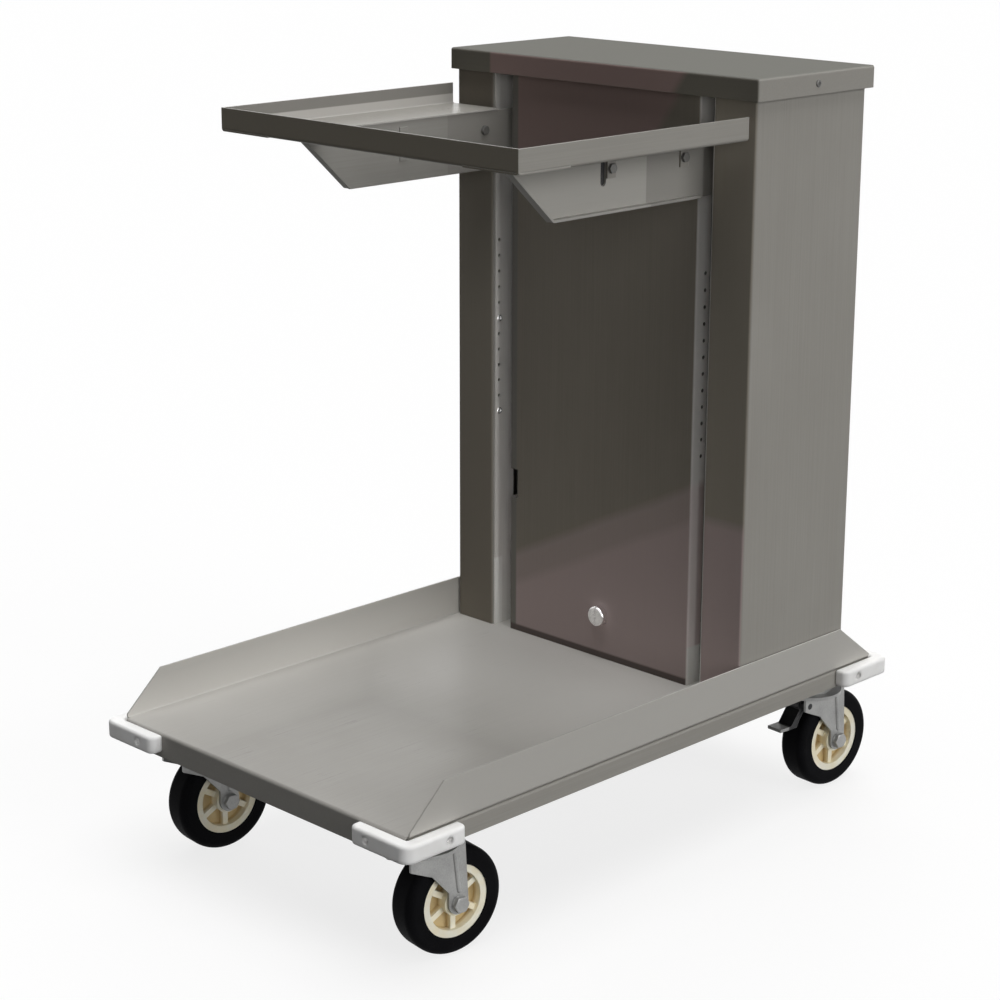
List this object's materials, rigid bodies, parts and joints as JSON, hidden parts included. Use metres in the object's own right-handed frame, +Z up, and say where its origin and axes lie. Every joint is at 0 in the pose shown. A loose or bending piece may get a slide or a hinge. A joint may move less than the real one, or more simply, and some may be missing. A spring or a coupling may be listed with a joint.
{
  "type": "mobile tray dispenser",
  "caption": "Cart with a rear spring tower that carries a self-levelling open frame for serving trays above a walled deck, on swivel casters with corner bumpers.",
  "frame": {"origin": "on the floor, at the middle of the object's outline seen from above", "axes": "+X to the right seen from the deck's front, +Y from the deck's front edge to the tower's back, +Z up"},
  "size_m": [0.524, 0.8549, 0.922],
  "materials": {
    "stainless": "satin",
    "zinc_steel": "zinc plated",
    "spring_steel": "oiled",
    "bumper_vinyl": "smooth",
    "tyre_rubber": "matte",
    "hub_plastic": "moulded",
    "roller_nylon": "turned",
    "stop_rubber": "matte"
  },
  "bodies": {
    "cart": {"deck_pan": "stainless", "side_rail_left": "stainless", "side_rail_right": "stainless", "front_cross_channel": "stainless", "rear_cross_channel": "stainless", "bumper_front_left": "bumper_vinyl", "bumper_front_right": "bumper_vinyl", "bumper_rear_left": "bumper_vinyl", "bumper_rear_right": "bumper_vinyl", "bumper_screws": "zinc_steel", "tower_side_left": "stainless", "slot_strip_left": "stainless", "guide_channel_left": "stainless", "tower_side_right": "stainless", "slot_strip_right": "stainless", "guide_channel_right": "stainless", "tower_back_panel": "stainless", "tower_cap": "stainless", "tower_header": "stainless", "tower_screws": "zinc_steel", "tower_foot_bolts": "zinc_steel", "access_panel": "stainless", "latch_keeper": "stainless", "cross_brace": "stainless", "carriage_stops": "stop_rubber", "spring_hanger_bar": "zinc_steel", "lift_springs": "spring_steel", "caster_plates": "zinc_steel", "caster_plate_bolts": "zinc_steel"},
    "carriage": {"tray_frame": "stainless", "arm_left": "stainless", "arm_right": "stainless", "carriage_plate": "stainless", "carriage_bolts": "zinc_steel", "spring_bar": "zinc_steel", "roller_axles": "zinc_steel"},
    "latch": {"panel_latch": "zinc_steel"},
    "roller_upper_left": {"roller_upper_left": "roller_nylon"},
    "roller_upper_right": {"roller_upper_right": "roller_nylon"},
    "roller_lower_left": {"roller_lower_left": "roller_nylon"},
    "roller_lower_right": {"roller_lower_right": "roller_nylon"},
    "swivel_front_left": {"caster_fork_front_left": "zinc_steel", "caster_axle_front_left": "zinc_steel"},
    "wheel_front_left": {"wheel_hub_front_left": "hub_plastic", "tyre_front_left": "tyre_rubber"},
    "swivel_front_right": {"caster_fork_front_right": "zinc_steel", "caster_axle_front_right": "zinc_steel"},
    "wheel_front_right": {"wheel_hub_front_right": "hub_plastic", "tyre_front_right": "tyre_rubber"},
    "swivel_rear_left": {"caster_fork_rear_left": "zinc_steel", "caster_axle_rear_left": "zinc_steel"},
    "wheel_rear_left": {"wheel_hub_rear_left": "hub_plastic", "tyre_rear_left": "tyre_rubber"},
    "swivel_rear_right": {"caster_fork_rear_right": "zinc_steel", "caster_axle_rear_right": "zinc_steel"},
    "wheel_rear_right": {"wheel_hub_rear_right": "hub_plastic", "tyre_rear_right": "tyre_rubber"},
    "brake_rear_left": {"brake_pedal_rear_left": "zinc_steel"},
    "brake_rear_right": {"brake_pedal_rear_right": "zinc_steel"}
  },
  "joints": [
    {"name": "carriage_slide", "type": "slide", "parent": "cart", "child": "carriage", "axis": [0, 0, -1], "range_m": [0, 0.4505], "stiffness_N_per_m": 1000, "springref_m": -0.16, "deforming": ["lift_springs"]},
    {"name": "roller_upper_left_spin", "type": "hinge", "parent": "carriage", "child": "roller_upper_left", "pos_m": [-0.2107, 0.24675, 0.8325], "axis": [1, 0, 0], "continuous": true},
    {"name": "roller_upper_right_spin", "type": "hinge", "parent": "carriage", "child": "roller_upper_right", "pos_m": [0.2107, 0.24675, 0.8325], "axis": [1, 0, 0], "continuous": true},
    {"name": "roller_lower_left_spin", "type": "hinge", "parent": "carriage", "child": "roller_lower_left", "pos_m": [-0.2107, 0.24675, 0.6765], "axis": [1, 0, 0], "continuous": true},
    {"name": "roller_lower_right_spin", "type": "hinge", "parent": "carriage", "child": "roller_lower_right", "pos_m": [0.2107, 0.24675, 0.6765], "axis": [1, 0, 0], "continuous": true},
    {"name": "swivel_front_left_turn", "type": "hinge", "parent": "cart", "child": "swivel_front_left", "pos_m": [-0.1973, -0.34525, 0.137], "axis": [0, 0, 1], "continuous": true},
    {"name": "wheel_front_left_spin", "type": "hinge", "parent": "swivel_front_left", "child": "wheel_front_left", "pos_m": [-0.19402, -0.31241, 0.0635], "axis": [0.9951, -0.0993, 0], "continuous": true},
    {"name": "swivel_front_right_turn", "type": "hinge", "parent": "cart", "child": "swivel_front_right", "pos_m": [0.1973, -0.34525, 0.137], "axis": [0, 0, 1], "continuous": true},
    {"name": "wheel_front_right_spin", "type": "hinge", "parent": "swivel_front_right", "child": "wheel_front_right", "pos_m": [0.20189, -0.31257, 0.0635], "axis": [0.9903, -0.1392, 0], "continuous": true},
    {"name": "swivel_rear_left_turn", "type": "hinge", "parent": "cart", "child": "swivel_rear_left", "pos_m": [-0.1973, 0.33075, 0.137], "axis": [0, 0, 1], "continuous": true},
    {"name": "wheel_rear_left_spin", "type": "hinge", "parent": "swivel_rear_left", "child": "wheel_rear_left", "pos_m": [-0.20018, 0.36362, 0.0635], "axis": [0.9962, 0.0872, 0], "continuous": true},
    {"name": "brake_rear_left_press", "type": "hinge", "parent": "swivel_rear_left", "child": "brake_rear_left", "pos_m": [-0.19538, 0.30883, 0.122], "axis": [0.9962, 0.0872, 0], "range_deg": [0, 12], "stiffness_Nm_per_rad": 2, "springref_deg": -5.73},
    {"name": "swivel_rear_right_turn", "type": "hinge", "parent": "cart", "child": "swivel_rear_right", "pos_m": [0.1973, 0.33075, 0.137], "axis": [0, 0, 1], "continuous": true},
    {"name": "wheel_rear_right_spin", "type": "hinge", "parent": "swivel_rear_right", "child": "wheel_rear_right", "pos_m": [0.1996, 0.36367, 0.0635], "axis": [0.9976, -0.0698, 0], "continuous": true},
    {"name": "brake_rear_right_press", "type": "hinge", "parent": "swivel_rear_right", "child": "brake_rear_right", "pos_m": [0.19576, 0.3088, 0.122], "axis": [0.9976, -0.0698, 0], "range_deg": [0, 12], "stiffness_Nm_per_rad": 2, "springref_deg": -5.73},
    {"name": "latch_turn", "type": "hinge", "parent": "cart", "child": "latch", "pos_m": [0.008, 0.14375, 0.232], "axis": [0, 1, 0], "range_deg": [0, 90]}
  ],
  "couplings": [
    {"joint": "roller_upper_left_spin", "follows": "carriage_slide", "rad_per_m": -52.632},
    {"joint": "roller_upper_right_spin", "follows": "carriage_slide", "rad_per_m": -52.632},
    {"joint": "roller_lower_left_spin", "follows": "carriage_slide", "rad_per_m": 52.632},
    {"joint": "roller_lower_right_spin", "follows": "carriage_slide", "rad_per_m": 52.632}
  ]
}
